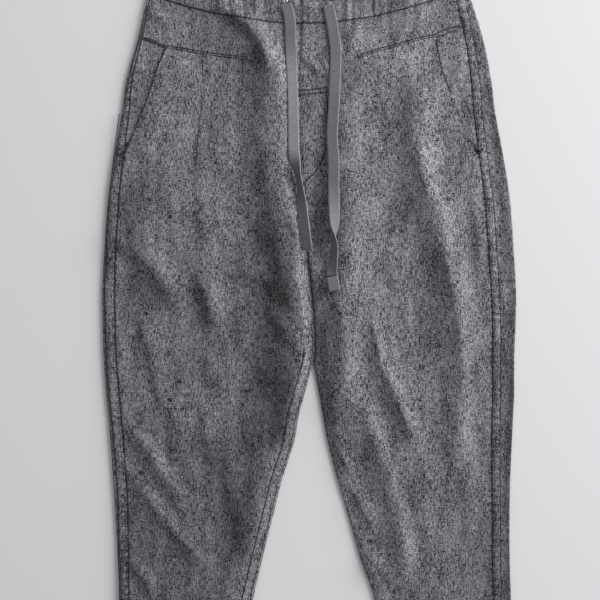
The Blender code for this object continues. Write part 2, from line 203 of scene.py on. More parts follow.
# Smaller creases, each a ridge along photo points: height, spread in mm, lean, points. A lean
# of 0.5 makes the flank on the path's left half as wide and the other one half as wide again.
creases = [
    (8.1, 13, 0.35, [(196, 6), (226, 11), (246, 23), (260, 40), (267, 60), (272, 84)]),
    (3, 6, 0.3, [(146, 8), (156, 15), (164, 24)]), (1.8, 5, 0.3, [(130, 72), (152, 70)]),
    (1.2, 4, 0.6, [(209, 56), (206, 90), (201, 125), (197, 165)]),
    (1.9, 6, 0.3, [(118, 154), (138, 152), (158, 161)]),
    (7.5, 15, 0.2, [(108, 234), (138, 252), (164, 284), (178, 316)]),
    (4.8, 10, 0.3, [(196, 270), (208, 296), (214, 330)]), (4.2, 14, 0.3, [(232, 262), (258, 276), (290, 290)]),
    (4.2, 11, 0.3, [(262, 300), (280, 322), (292, 350)]),
    (4, 12, 0.3, [(136, 312), (152, 350), (160, 392), (176, 424)]),
    (5.6, 10, 0, [(118, 416), (146, 446), (170, 482), (184, 512)]),
    (6.4, 10, 0, [(124, 462), (152, 500), (178, 534), (208, 568)]),
    (4.6, 9, 0, [(122, 546), (144, 576), (158, 604)]), (3.6, 10, 0.1, [(196, 385), (206, 420), (212, 470)]),
    (3.8, 12, 0.1, [(224, 440), (232, 480), (240, 520)]), (3.2, 5, 0.4, [(303, 56), (311, 66), (321, 78)]),
    (2.2, 5, 0.4, [(322, 56), (328, 72), (330, 86)]), (3.5, 6, 0.5, [(371, 318), (377, 345), (382, 372)]),
    (3.8, 9, 0.4, [(376, 350), (392, 385), (408, 426), (430, 446)]),
    (3, 8, 0.3, [(352, 556), (366, 562), (380, 582)]), (2.8, 6, 0.4, [(336, 446), (350, 472)]),
    (3.8, 8, 0.4, [(348, 480), (362, 505), (376, 534)]), (3, 8, 0.4, [(364, 548), (380, 566), (396, 586)]),
    (2.8, 7, 0.3, [(361, 18), (354, 38), (347, 62)]), (2.5, 7, 0.3, [(420, 14), (416, 34), (405, 54)]),
    (3, 10, 0.4, [(470, 180), (478, 230), (480, 300)]), (2.8, 9, 0.4, [(440, 240), (452, 290), (462, 350)]),
    (3.2, 11, 0.3, [(410, 130), (424, 180), (440, 226)]), (2.2, 3.5, 0.3, [(231, -10), (233, 15)]),
    (2.2, 3.5, 0.3, [(245, -10), (247, 18)]), (1.9, 3.5, 0.3, [(256, -10), (257, 19)]),
    (2, 3.5, 0.3, [(375, -10), (375, 14)]), (1.8, 3.5, 0.3, [(381, -10), (381, 12)]),
    (1.8, 3.5, 0.3, [(403, -14), (404, 5)]), (2.4, 5, 0, [(112, 452), (124, 462), (132, 476)]),
    (2.2, 5, 0, [(114, 522), (126, 536), (136, 552)]), (2.2, 6, 0, [(110, 232), (122, 246), (128, 262)]),
    (2.4, 7, 0.2, [(298, 372), (290, 392), (280, 410)]), (2.4, 6, 0.2, [(506, 250), (502, 290), (508, 330)]),
    (2.6, 7, 0.2, [(474, 340), (480, 380), (478, 420)]),
]

# Painted shade: soft darker bands along the cloth's folds, rolled edges and overlaps, where shade falls; a
# negative amount paints a lighter patch instead. How much darker, spread in mm, photo points. The cloud adds a
# random cloudy unevenness of tone: strength, mm across and mm along.
washCloud = (0.18, 46, 70)
paintedShadePatches = [
    (0.22, 14, [(128, 238), (148, 262), (172, 300)]), (0.20, 11, [(198, 288), (206, 324)]),
    (0.24, 8, [(124, 90), (110, 200), (106, 300), (107, 400), (114, 520), (120, 600)]),
    (0.18, 16, [(366, 446), (376, 490), (388, 536)]), (0.17, 80, [(190, 330), (195, 420), (195, 600)]),
    (0.26, 20, [(194, 440), (194, 600)]), (0.47, 24, [(262, 236), (266, 300), (262, 380), (256, 430)]),
    (0.36, 16, [(276, 250), (284, 300), (284, 400), (278, 440)]), (0.40, 13, [(281, 268), (284, 302)]),
    (0.34, 16, [(284, 385), (280, 432)]), (0.24, 20, [(252, 66), (258, 120), (262, 190), (266, 236)]),
    (0.34, 14, [(236, 24), (248, 36), (256, 60)]), (0.14, 34, [(214, 430), (220, 500), (222, 600)]),
    (0.48, 24, [(246, 450), (246, 500), (240, 540)]), (0.24, 18, [(192, 262), (200, 290), (206, 330)]),
    (0.22, 15, [(192, 170), (196, 200), (200, 240)]), (0.42, 16, [(134, 196), (132, 240), (133, 290)]),
    (0.31, 28, [(492, 360), (493, 450), (491, 600)]),
    (0.50, 8, [(489, 90), (504, 200), (511, 300), (511, 420), (508, 600)]),
    (0.16, 20, [(140, 500), (142, 540), (146, 600)]), (0.14, 16, [(152, 535), (162, 600)]),
    (0.20, 14, [(318, 290), (320, 360), (326, 420)]), (0.16, 16, [(432, 220), (440, 260), (444, 310)]),
    (0.20, 14, [(436, 205), (434, 232)]), (0.20, 26, [(444, 500), (448, 600)]),
    (0.10, 16, [(314, 120), (314, 220)]), (0.30, 15, [(346, 74), (346, 225)]),
    (0.14, 18, [(462, 262), (466, 320)]), (0.36, 12, [(320, 328), (322, 372), (330, 420), (340, 462)]),
    (0.14, 14, [(192, 330), (194, 370)]), (0.16, 14, [(132, 452), (134, 470)]),
    (0.18, 14, [(190, 2), (206, 8)]),
    (0.55, 3, [(306.5, 250), (309, 270), (311.4, 292), (313.8, 320), (315, 350), (313.5, 363)]),
    (0.16, 14, [(134, 540), (136, 570)]), (-0.28, 18, [(404, 36), (402, 80)]),
    (-0.12, 14, [(462, 96), (462, 120)]), (-0.14, 20, [(375, 180), (378, 240), (376, 300)]),
    (-0.30, 16, [(376, 96), (374, 140)]), (-0.26, 14, [(164, 208), (166, 234)]),
    (-0.20, 14, [(164, 304), (166, 340)]), (-0.14, 14, [(192, 392), (196, 410)]),
    (-0.12, 14, [(222, 80), (224, 120), (226, 160)]), (0.28, 14, [(250, 2), (262, 16)]),
]

# Seams that draw the cloth in on both sides: how deep, how far it reaches, then photo points.
puckerSeams = [
    (0.45, 7, [(142, 37.4), (155, 41), (166, 46), (205, 52.5), (248, 58.6)]),
    (0.45, 7, [(357, 57.5), (374, 50.4), (398, 44.5), (417.6, 39), (448, 28.7)]),
    (0.35, 5, [(298.5, 93.5), (327.5, 90.5)]),
    (0.3, 5, [(327, 97), (327, 143), (322.6, 159.6), (316.4, 171.5), (303, 184.4)]),
]
pucker = {"pitch": 7.5, "sideDepth": 0.9, "sideReach": 6, "inseamDepth": 0.5, "crotchDepth": 0.25, "inseamReach": 8}


def legsApart(down):
    return ramp(down, garment["valleyStart"], garment["crotch"])


def sideSeamWave(down):  # puckers along the side seams, about 8.5 mm apart
    return np.sin(2 * np.pi * down / 8.5 + 2.5 * np.sin(down / 17) + 1.1 * np.sin(down / 41))


def inseamWave(down):  # and along the inseam, about 8 mm apart
    return np.sin(2 * np.pi * down / 8.0 + 2.1 * np.sin(down / 15))


def foldHeight(x, down):
    total = np.zeros(np.shape(x))
    for height, spread, lean, path in broadFolds:
        rows = np.array([(level, px) for px, level in path], float)
        start, end, fade = rows[0, 0], rows[-1, 0], foldFade["ends"]
        ends = ramp(down, start - fade, start + fade) * (1 - ramp(down, end - fade, end + fade))
        away = x - readSmooth(rows, 1, down)
        width = spread * (1 - lean * np.sign(away))
        total = total + height * ends * np.exp(-((away / width) ** 2))
    return total


def creaseHeight(x, down):
    total = np.zeros(np.shape(x))
    keep, share = creaseFade["endKeep"], creaseFade["endShare"]
    for height, spread, lean, points in creases:
        away, signed, place, length = alongPath(x, down, fromPhoto(points))
        ends = mix(keep, 1, ramp(place, 0, share * length)) * mix(1, keep, ramp(place, (1 - share) * length, length))
        width = spread * (1 + lean * np.tanh(3 * signed / spread))
        total += height * ends * np.exp(-((away / width) ** 2))
    return total


def puckerHeight(x, down):
    total = np.zeros(np.shape(x))
    for depth, reach, points in puckerSeams:
        away, signed, place, length = alongPath(x, down, fromPhoto(points))
        near = away < 4 * reach
        wave = np.sin(2 * np.pi * place / pucker["pitch"] + 2.2 * np.sin(place / 13) + 0.5 * np.sign(signed))
        total += np.where(near, depth * np.exp(-away / reach) * (wave - 0.5), 0)
    for side in ("left", "right"):
        away = np.abs(x - seamX(side, down))
        total += pucker["sideDepth"] * np.exp(-away / pucker["sideReach"]) * (sideSeamWave(down) - 0.3)
    away = np.abs(x - innerX("left", down))
    depth = pucker["inseamDepth"] * legsApart(down) + pucker["crotchDepth"]
    return total + depth * np.exp(-away / pucker["inseamReach"]) * (inseamWave(down) - 0.3)


# the cloth's random cloudy tone, times the painted shade of the patches (painted light where one is negative)
def cloudAndPaintedShadeAt(x, down):
    strength, across, along = washCloud
    shade = 1 + strength * noiseAt(x / across, down / along, 31.0)
    for darker, spread, points in paintedShadePatches:
        away = alongPath(x, down, fromPhoto(points))[0]
        shade = shade * (1 - darker * np.exp(-((away / spread) ** 2)))
    return shade


# Layers of the waist's gathers: weight, share of their pitch, mm along, noise seed.
gatherLayers = [(1.3, 1.0, 60, 5.0), (0.7, 0.5, 35, 9.0), (0.9, 3.4, 80, 12.0)]
# Layers of the cloth's small wrinkles: height, mm across, mm along, noise seed.
wrinkleLayers = {"wide": (3.4, 38, 85, 1.0), "middle": (1.45, 16, 30, 2.0), "small": (0.32, 7.5, 10, 3.0)}


def gatherHeight(x, down):  # uneven puckers of the elastic waist, calm at the side seams
    left, right = bandSeamX("left", 0.0), bandSeamX("right", 0.0)
    share = np.clip((x - left) / (right - left), 0, 1)
    wave = sum(weight * noiseAt(x / (part * band["gatherPitch"]), down / along, seed)
               for weight, part, along, seed in gatherLayers)
    return band["gatherDepth"] * np.sqrt(np.sin(np.pi * share)) * wave


def wrinkles(x, down):
    def layer(name, shift=0.0):
        height, across, along, seed = wrinkleLayers[name]
        return noiseAt(x / across + shift, down / along, seed) * height

    wide = layer("wide")
    # the middle ones bend with the wide ones
    return wide + layer("middle", 0.3 * wide / wrinkleLayers["wide"][0]) + layer("small")


def clothHeight(x, down, fine=True):  # the outer face of the fronts, and of the backs where they wrap round
    x, down = np.broadcast_arrays(np.asarray(x, float), np.asarray(down, float))
    onLeft = x < innerX("left", down) + outline("legsGap", down) / 2
    outer = np.where(onLeft, edgeX("left", down), edgeX("right", down))
    inner = np.where(onLeft, innerX("left", down), innerX("right", down))
    radius = garment["edgeRadius"]
    out = np.maximum(0.0, np.abs(x - outer) - radius)
    into = np.abs(inner - x)
    share = np.minimum(1.0, out / (np.abs(inner - outer) - radius))
    apart = legsApart(down)
    crown = (1 - (1 - share) ** 3) * (1 - apart * share**6)
    keep = ramp(out, 0, foldFade["outer"]) * (1 - apart * (1 - ramp(into, 0, foldFade["inner"])))
    height = 2 * radius + garment["crown"] * crown + foldHeight(x, down) * keep
    if not fine:
        return height
    keepFine = ramp(out, *creaseFade["outer"])
    keepFine = keepFine * (1 - (1 - creaseFade["innerKeep"]) * apart * (1 - ramp(into, *creaseFade["inner"])))
    height = height + keepFine * (creaseHeight(x, down) + wrinkles(x, down) + puckerHeight(x, down))
    pastBand = np.maximum(0, down - band["height"] - waistDip(x))
    height += keepFine * gatherHeight(x, down) * np.exp(-pastBand / band["gatherReach"])
    hem = garment["length"] - garment["hemDepth"]
    height += garment["hemRise"] * ramp(down, hem - 1.5, hem)
    height -= garment["legSeamDip"] * (1 - apart) * np.exp(-((into / garment["legSeamReach"]) ** 2))
    # two layers of cloth always lie between the outer face and the floor
    least, fade = garment["least"], garment["leastFade"]
    return least + fade * np.logaddexp(0, (height - least) / fade)


print("camera, floor and light")

studio = {"cameraHeight": 2.0, "frameWidth": 600 * photo["scale"] * mm, "sensor": 36.0,
          "floor": "#e3e2e2", "floorSize": 4, "floorBelow": 0.0004,
          "sun": 228.0, "sunPlace": (3.05, 1.75, 1.4), "sunSize": 2.8, "sky": "#f4f5f9", "fill": 0.40}


def hexColour(code):  # an sRGB hex value as linear red, green, blue and alpha
    channels = [int(code[i : i + 2], 16) / 255 for i in (1, 3, 5)]
    return tuple(c / 12.92 if c <= 0.04045 else ((c + 0.055) / 1.055) ** 2.4 for c in channels) + (1.0,)


def addNode(tree, kind, settings=(), links=()):
    node = tree.nodes.new("ShaderNode" + kind)
    for key, value in dict(settings).items():
        if isinstance(key, str) and hasattr(node, key):
            setattr(node, key, value)
        else:
            node.inputs[key].default_value = value
    for key, socket in dict(links).items():
        tree.links.new(socket, node.inputs[key])
    return node


def newMaterial(name, settings):
    made = bpy.data.materials.new(name)
    made.use_nodes = True
    shader = made.node_tree.nodes["Principled BSDF"]
    for key, value in settings.items():
        shader.inputs[key].default_value = value
    return made, made.node_tree, shader


def addObject(name, mesh, look):
    mesh.materials.append(look)
    mesh.shade_smooth()
    made = bpy.data.objects.new(name, mesh)
    scene.collection.objects.link(made)
    return made


def photoPlace(px, py):
    (x, down), = fromPhoto([(px, py)])
    return Vector((x, modelY(down), 0)) * mm


lens = bpy.data.cameras.new("camera")
lens.sensor_width = studio["sensor"]
lens.lens = studio["sensor"] * studio["cameraHeight"] / studio["frameWidth"]
camera = bpy.data.objects.new("camera", lens)
camera.location = photoPlace(300, 300) + Vector((0, 0, studio["cameraHeight"]))
scene.collection.objects.link(camera)
scene.camera = camera
scene.view_settings.view_transform = "Standard"

bm = bmesh.new()
bmesh.ops.create_grid(bm, x_segments=1, y_segments=1, size=studio["floorSize"])
bmesh.ops.translate(bm, verts=bm.verts, vec=(0, 0, -studio["floorBelow"]))
floorMesh = bpy.data.meshes.new("floor")
bm.to_mesh(floorMesh)
bm.free()
# painted board: matt and pale, so the cloth's soft shadow shows beside it
floorLook = newMaterial("painted board", {"Roughness": 0.9, "Base Color": hexColour(studio["floor"])})[0]
addObject("floor", floorMesh, floorLook)

sun = bpy.data.lights.new("window", "AREA")
sun.energy = studio["sun"]
sun.size = studio["sunSize"]
window = bpy.data.objects.new("window", sun)
window.location = studio["sunPlace"]
window.rotation_euler = (Vector(studio["sunPlace"]) * -1).to_track_quat("-Z", "Y").to_euler()
scene.collection.objects.link(window)
sky = bpy.data.worlds.new("room")
sky.use_nodes = True
skyLight = sky.node_tree.nodes["Background"].inputs
skyLight["Color"].default_value = hexColour(studio["sky"])
skyLight["Strength"].default_value = studio["fill"]
scene.world = sky

print("cloth and tape materials")

# yarn and slub are sizes in mm; low and high are the levels of the pattern that are fully dark and fully pale
chambray = {"dark": "#16151f", "pale": "#a8a6ac", "low": 0.433, "high": 0.600, "yarn": 1.35, "slub": 6.0,
            "bump": 0.5, "bumpDepth": 0.6}


def chambrayLook():
    # Yarn-dyed linen and cotton chambray, plain woven: charcoal warp under an off-white slubby weft gives
    # a matt, bluish grey cloth with a pale and dark speckle. Its yarns are 0.5 mm apart, and they are
    # drawn 1.35 mm apart so that they show. Washing has left it cloudy, and painted shade along its folds
    # and edges comes in from the shade attribute.
    made, tree, shader = newMaterial("chambray", {"Roughness": 0.92, "Specular IOR Level": 0.25,
                                                  "Sheen Weight": 0.05, "Sheen Roughness": 0.5})
    uv = addNode(tree, "UVMap", {"uv_map": "UVMap"}).outputs["UV"]
    yarn, slub = chambray["yarn"], chambray["slub"]
    # each layer: its size across and along the cloth in mm, and its weight in the whole
    layers = [(yarn, slub, 0.27), (slub, yarn, 0.15), (yarn / 0.85, yarn / 0.65, 0.28),
              (2.778, 10, 0.14), (11.76, 33.33, 0.09), (38.46, 58.82, 0.08)]
    total = None
    for across, along, weight in layers:
        scale = (1 / (across * mm), 1 / (along * mm), 1)
        spread = addNode(tree, "Mapping", {"Scale": scale}, {"Vector": uv})
        layer = addNode(tree, "TexNoise", {"Scale": 1.0, "Detail": 1.5}, {"Vector": spread.outputs[0]})
        links = {0: layer.outputs[0]} if total is None else {0: layer.outputs[0], 2: total}
        total = addNode(tree, "Math", {"operation": "MULTIPLY_ADD", 1: weight, 2: 0.0}, links).outputs[0]
    level = addNode(tree, "MapRange", {"From Min": chambray["low"], "From Max": chambray["high"]}, {"Value": total})
    colours = {"data_type": "RGBA", 6: hexColour(chambray["dark"]), 7: hexColour(chambray["pale"])}
    colour = addNode(tree, "Mix", colours, {0: level.outputs[0]})
    # the shade attribute: the cloth's cloudy tone and painted shade, multiplied into its colour
    shade = addNode(tree, "Attribute", {"attribute_name": "shade"})
    cloudedAndShaded = addNode(tree, "VectorMath", {"operation": "SCALE"}, {0: colour.outputs[2], 3: shade.outputs[2]})
    tree.links.new(cloudedAndShaded.outputs[0], shader.inputs["Base Color"])
    bump = addNode(tree, "Bump", {"Strength": chambray["bump"], "Distance": chambray["bumpDepth"] * mm},
                   {"Height": total})
    tree.links.new(bump.outputs[0], shader.inputs["Normal"])
    return made


# rib, mottle and selvedgeFrom are in mm, the last one measured from the tape's middle
tapeTwill = {"middle": "#6f6c71", "selvedge": "#929095", "selvedgeFrom": (6.4, 7.0), "rib": 1.6, "mottle": 4.545,
             "least": 0.55, "ribShade": 0.3, "mottleShade": 0.65, "bump": 0.4, "bumpDepth": 0.2}


def tapeLook():
    # Herringbone cotton tape, piece dyed warm grey: matt, with fine slanting ribs and a paler firm selvedge.
    # The ribs are 0.8 mm apart, and they are drawn 1.6 mm apart so that they show.
    made, tree, shader = newMaterial("cotton twill tape", {"Roughness": 0.85, "Specular IOR Level": 0.3})
    uv = addNode(tree, "UVMap", {"uv_map": "UVMap"}).outputs["UV"]
    # the wave node's bands are 0.31 m apart at a scale of 1
    ribs = addNode(tree, "TexWave", {"bands_direction": "DIAGONAL", "Scale": 0.31 / (tapeTwill["rib"] * mm),
                                     "Distortion": 1.2, "Detail": 1.0}, {"Vector": uv})
    mottle = addNode(tree, "TexNoise", {"Scale": 1 / (tapeTwill["mottle"] * mm), "Detail": 3.0}, {"Vector": uv})
    parts = addNode(tree, "SeparateXYZ", {}, {0: uv})
    away = addNode(tree, "Math", {"operation": "ABSOLUTE"}, {0: parts.outputs[0]})
    start, full = tapeTwill["selvedgeFrom"]
    edge = addNode(tree, "MapRange", {"From Min": start * mm, "From Max": full * mm}, {"Value": away.outputs[0]})
    ribbed = addNode(tree, "Math", {"operation": "MULTIPLY_ADD", 1: tapeTwill["ribShade"], 2: tapeTwill["least"]},
                     {0: ribs.outputs[0]})
    mottled = addNode(tree, "Math", {"operation": "MULTIPLY_ADD", 1: tapeTwill["mottleShade"]},
                      {0: mottle.outputs[0], 2: ribbed.outputs[0]})
    colours = {"data_type": "RGBA", 6: hexColour(tapeTwill["middle"]), 7: hexColour(tapeTwill["selvedge"])}
    base = addNode(tree, "Mix", colours, {0: edge.outputs[0]})
    shaded = addNode(tree, "VectorMath", {"operation": "SCALE"}, {0: base.outputs[2], 3: mottled.outputs[0]})
    tree.links.new(shaded.outputs[0], shader.inputs["Base Color"])
    bump = addNode(tree, "Bump", {"Strength": tapeTwill["bump"], "Distance": tapeTwill["bumpDepth"] * mm},
                   {"Height": ribs.outputs[0]})
    tree.links.new(bump.outputs[0], shader.inputs["Normal"])
    return made


def twoToneLook(name, finish):  # two close colours in a fine grain, whose size is in mm
    made, tree, shader = newMaterial(name, finish["shader"])
    place = addNode(tree, "TexCoord").outputs["Object"]
    grain = addNode(tree, "TexNoise", {"Scale": 1 / (finish["grain"] * mm), "Detail": finish["detail"]},
                    {"Vector": place})
    colours = {"data_type": "RGBA", 6: hexColour(finish["dark"]), 7: hexColour(finish["pale"])}
    colour = addNode(tree, "Mix", colours, {0: grain.outputs[0]})
    tree.links.new(colour.outputs[2], shader.inputs["Base Color"])
    return made


# Spun polyester sewing thread: black, with a dull gleam from its twist.
sewingThread = {"shader": {"Roughness": 0.7}, "dark": "#08080b", "pale": "#24242b", "grain": 1.111, "detail": 1}
# Nickel-plated brass: bright and slightly warm, with a faint unevenness from tumbling.
nickelPlate = {"shader": {"Metallic": 1, "Roughness": 0.28}, "dark": "#bdb8b0", "pale": "#dedad4",
               "grain": 1.4286, "detail": 3}

cloth, tapeCloth = chambrayLook(), tapeLook()
thread, metal = twoToneLook("sewing thread", sewingThread), twoToneLook("nickel plate", nickelPlate)
# where in the weave each piece is cut, in mm, so that no two show the same cloth
cutFrom = {"back": 700, "facing": 1400, "frontBand": 2100, "backBand": 2800, "sideSeam": 3500, "inseam": 4200}


def layGrid(name, columns, rows, place, wall, look, offset=-1.0):
    # A sheet of cloth: place(column, row) gives x, down, z and the two directions of its cut, all in mm.
    bm = bmesh.new()
    bmesh.ops.create_grid(bm, x_segments=columns, y_segments=rows, size=0.5)
    mesh = bpy.data.meshes.new(name)
    bm.to_mesh(mesh)
    bm.free()
    points = np.empty(len(mesh.vertices) * 3)
    mesh.vertices.foreach_get("co", points)
    points = points.reshape(-1, 3)
    column, row = np.rint((points[:, 0] + 0.5) * columns), np.rint((points[:, 1] + 0.5) * rows)
    x, down, z, u, v = np.broadcast_arrays(*place(column, row))
    mesh.vertices.foreach_set("co", (np.stack([x, modelY(down), z], 1) * mm).ravel())
    corners = np.empty(len(mesh.loops), int)
    mesh.loops.foreach_get("vertex_index", corners)
    uvMap = mesh.uv_layers.new(name="UVMap")
    uvMap.data.foreach_set("uv", (np.stack([u[corners], v[corners]], 1) * mm).ravel())
    # cloth pieces carry their cloudy tone and painted shade as a point attribute
    if look == cloth:
        mesh.attributes.new("shade", "FLOAT", "POINT").data.foreach_set("value", cloudAndPaintedShadeAt(x, down))
    made = addObject(name, mesh, look)
    cover = made.modifiers.new("wall", "SOLIDIFY")
    cover.thickness = wall * mm
    cover.offset = offset
    cover.use_even_offset = True
    return made


def finishPiece(made, slot, *nodes):
    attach(made, "root")
    if nodes:
        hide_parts(*nodes)
    return made


def layCloth(name, columns, rows, place, wall, *nodes):
    return finishPiece(layGrid(name, columns, rows, place, wall, cloth), "cloth", *nodes)


print("drawstring tapes")

tape = {"width": 14.6, "wall": 0.9, "columns": 8, "stations": 200,
        "above": 0.35, "bandAbove": 0.7, "pressed": 0.4, "dish": 0.15, "curl": 0.14, "tiltMost": 0.5}
# Where each free tape end runs: x, down, turn in degrees (past 90 it shows its other face), lift.
leftTape = np.array([
    (-31, 46.5, 0, 0), (-27.2, 56, 0, 0), (-25, 70, 0, 0), (-23.8, 106, 0, 0), (-21.3, 168, 0, 0),
    (-20.2, 232, 6, 0.1), (-19, 251, 28, 0.2), (-15.8, 267, 54, 0.2), (-12.4, 284, 60, 0.1),
    (-9.6, 310, 41, 0), (-6.6, 336, 38, 0), (-3.8, 358, 38, 0), (-2.2, 370, 39, 0),
], float)
rightTape = np.array([
    (25.4, 47.5, 0, 0), (27.6, 58, 0, 0), (31.4, 79, 0, 0), (35, 106, 0, 0), (33.2, 168, 0, 0),
    (30.4, 222, 0, 0), (32.2, 250, 0, 0), (32.3, 290, -6, 0.1), (32.9, 318, -24, 0.2),
    (33.6, 338, -48, 0.2), (34.2, 352, -86, 0.2), (33.4, 364, -124, 0.2), (32.2, 378, -140, 0.2),
    (30.6, 391, -156, 0.2), (29.8, 399, -172, 0.2), (30.2, 404, -180, 0.2),
], float)
tab = {"start": (30.4, 404.9), "end": (33.8, 423.6), "wall": 2.4, "above": 0.4, "columns": 10, "rows": 12}


def tapeTop(x, down):  # the highest cloth at a place, with the waistband's step
    pastBand = down - band["height"] - waistDip(x)
    smooth = clothHeight(x, down, fine=False) + (band["step"] + tape["bandAbove"]) * (1 - ramp(pastBand, 5, 20))
    real = clothHeight(x, down) + band["step"] * (1 - ramp(pastBand, 1, 8))
    return np.maximum(smooth - tape["pressed"], real)


def nearStations(values, reach):  # the values of that many stations before and after each one
    padded = np.pad(values, reach, mode="edge")
    return [padded[i : i + len(values)] for i in range(2 * reach + 1)]


def tapeLine(route, cling):  # middle points and sideways directions of a tape's stations, in mm
    rows = route[:, [1, 0, 2, 3]]
    down = np.linspace(rows[0, 0], rows[-1, 0], tape["stations"] + 1)
    x, turn, lift = readSmooth(rows, 1, down), np.radians(readSmooth(rows, 2, down)), readSmooth(rows, 3, down)
    slope = readSmooth(rows, 1, down + 0.5) - readSmooth(rows, 1, down - 0.5)
    along = np.stack([slope, -np.ones_like(slope)], 1) / np.hypot(slope, 1)[:, None]
    half = tape["width"] / 2
    tilt = (tapeTop(x + half, down) - tapeTop(x - half, down)) / tape["width"]  # how the cloth slopes under it
    tilt = np.mean(nearStations(tilt, 10), 0) * np.cos(turn) * cling
    level = np.sqrt(1 - np.clip(tilt, -tape["tiltMost"], tape["tiltMost"]) ** 2)
    sideways = np.stack([-along[:, 1] * np.cos(turn) * level, along[:, 0] * np.cos(turn) * level,
                         np.sin(turn) + tilt * np.abs(np.cos(turn))], 1)
    sideways /= np.linalg.norm(sideways, axis=1)[:, None]
    reach = np.linspace(-0.5, 0.5, 9) * tape["width"]
    tops = [tapeTop(x + k * sideways[:, 0], down - k * sideways[:, 1]) - k * sideways[:, 2] for k in reach]
    rest = np.max(nearStations(np.max(tops, 0), 3), 0)  # it bridges the small hollows
    rest = np.mean(nearStations(rest, 3), 0)
    z = rest + tape["above"] + tape["wall"] / 2 + lift
    return np.stack([x, down, z], 1), sideways


def layTape(name, route, cling):  # cling: how far it leans with the cloth beneath
    middle, sideways = tapeLine(route, cling)
    run = np.concatenate([[0], np.cumsum(np.linalg.norm(np.diff(middle, axis=0), axis=1))])

    def place(column, row):
        row = row.astype(int)
        share = 0.5 - column / tape["columns"]
        reach = share * tape["width"]
        curl = tape["curl"] * (2 * share) ** 2 - tape["dish"]  # the firm selvedges curl up a little
        base, side = middle[row], sideways[row]
        x = base[:, 0] + reach * side[:, 0]
        down = base[:, 1] - reach * side[:, 1]
        return x, down, base[:, 2] + reach * side[:, 2] + curl, reach, run[row]

    made = layGrid(name, tape["columns"], tape["stations"], place, tape["wall"], tapeCloth, offset=0)
    path = [(px * mm, modelY(down) * mm, pz * mm) for px, down, pz in middle]
    return made, path, run[-1] * mm


leftPiece, leftPath, leftLength = layTape("drawstring_left", leftTape, 0.9)
rightPiece, rightPath, rightLength = layTape("drawstring_right", rightTape, 0.35)
finishPiece(leftPiece, "tape", "tape_left")
finishPiece(rightPiece, "tape", "tape_right")


def layTab():
    start, end = np.array(tab["start"]), np.array(tab["end"])
    along = (end - start) / np.linalg.norm(end - start)
    side = np.array([along[1], -along[0]])
    length = np.linalg.norm(end - start)
    columns, rows = tab["columns"], tab["rows"]
    share = np.array([(a, b) for a in (0, 0.25, 0.5, 0.75, 1) for b in (-0.5, -0.25, 0, 0.25, 0.5)])
    at = start + share[:, :1] * (end - start) + share[:, 1:] * tape["width"] * side
    height = np.max(tapeTop(at[:, 0], at[:, 1])) + tab["above"] + tab["wall"] / 2

    def place(column, row):
        reach = (0.5 - column / columns) * tape["width"]
        run = row / rows * length
        x = start[0] + along[0] * run + side[0] * reach
        down = start[1] + along[1] * run + side[1] * reach
        return x, down, height, reach, run

    made = layGrid("drawstring_tab_right", columns, rows, place, tab["wall"], tapeCloth, offset=0)
    return finishPiece(made, "tape", "tape_tab_right")


tabPiece = layTab()

print("trouser fronts")

# Pocket mouths: down, left x, right x. Then, at each side, where the mouth starts and is fully open.
pocketRows = np.array([(89.0, -194.0, 167.6), (101.6, -188.8, 169.6), (132.0, -200.6, 176.0), (168.0, -212.0, 189.5),
                       (197.0, -223.7, 201.0), (238.0, -241.0, 217.5), (245.5, -243.4, 221.0)], float)
pocket = {"left": (89.0, 101.6), "right": (76.6, 89.0), "foot": 245.5, "under": 5.0, "drop": 1.35,
          "facingFoot": {"left": 228.0, "right": 239.0}, "facingTop": (0.6, 0.9), "facingOut": 0.45,
          "lip": 0.4, "lipReach": 7, "bold": {"left": 62, "right": 80}}  # bold: how long the heavy stitches run


def pocketX(side, down):
    return readSmooth(pocketRows, 1 if side == "left" else 2, down)


def frontOuterX(side, level):
    start, full = pocket[side]
    seam, mouth = seamX(side, level), pocketX(side, level)
    opened = mix(seam, mouth, np.clip((level - start) / (full - start), 0, 1))
    return np.where((level <= start) | (level >= pocket["foot"]), seam, opened)


front = {"columns": 104, "rows": 340, "bend": 5, "top": 34.8}


def rowLevels(rows, wanted):  # even levels, with some moved to the exact levels that shape needs
    levels = np.linspace(front["top"], garment["length"], rows + 1)
    for value in wanted:
        levels[np.argmin(np.abs(levels - value))] = value
    return levels


def layFront(side):
    order = inwards(side)
    start, full = pocket[side]
    levels = rowLevels(front["rows"], (start, full, pocket["foot"]))
    bend, across = front["bend"], front["columns"] - front["bend"]

    def place(column, row):
        level = levels[row.astype(int)]
        k = column if side == "left" else front["columns"] - column
        inner = innerX(side, level)
        outer = frontOuterX(side, level) + order * garment["seamGap"]
        apart = legsApart(level)
        angle = np.pi / 2 * np.minimum(1, k / bend)
        flat = inner - order * garment["innerBend"]
        turned = inner - order * garment["innerBend"] * (1 - np.cos(angle))
        x = np.where(k < bend, turned, mix(flat, outer, (k - bend) / across))
        down = frontDown(x, level)
        top = clothHeight(x, down)
        low = mix(top, garment["seat"], apart)
        z = mix(low, top, np.sin(angle))
        mouth = (level > start) & (level < pocket["foot"])
        away = np.abs(x - outer)
        lip = np.where(mouth, pocket["lip"] * np.exp(-((away / pocket["lipReach"]) ** 2)), 0)
        z = z + lip * ramp(level, start, full + 10)
        return x, down, z, x, level

    return layCloth("trouser_front_" + side, front["columns"], front["rows"], place, garment["wall"], "front_" + side)


# a back's columns: those that come over onto the front, round the edge, and under it all
back = {"over": 12, "bend": 8, "under": 26, "rows": 330}


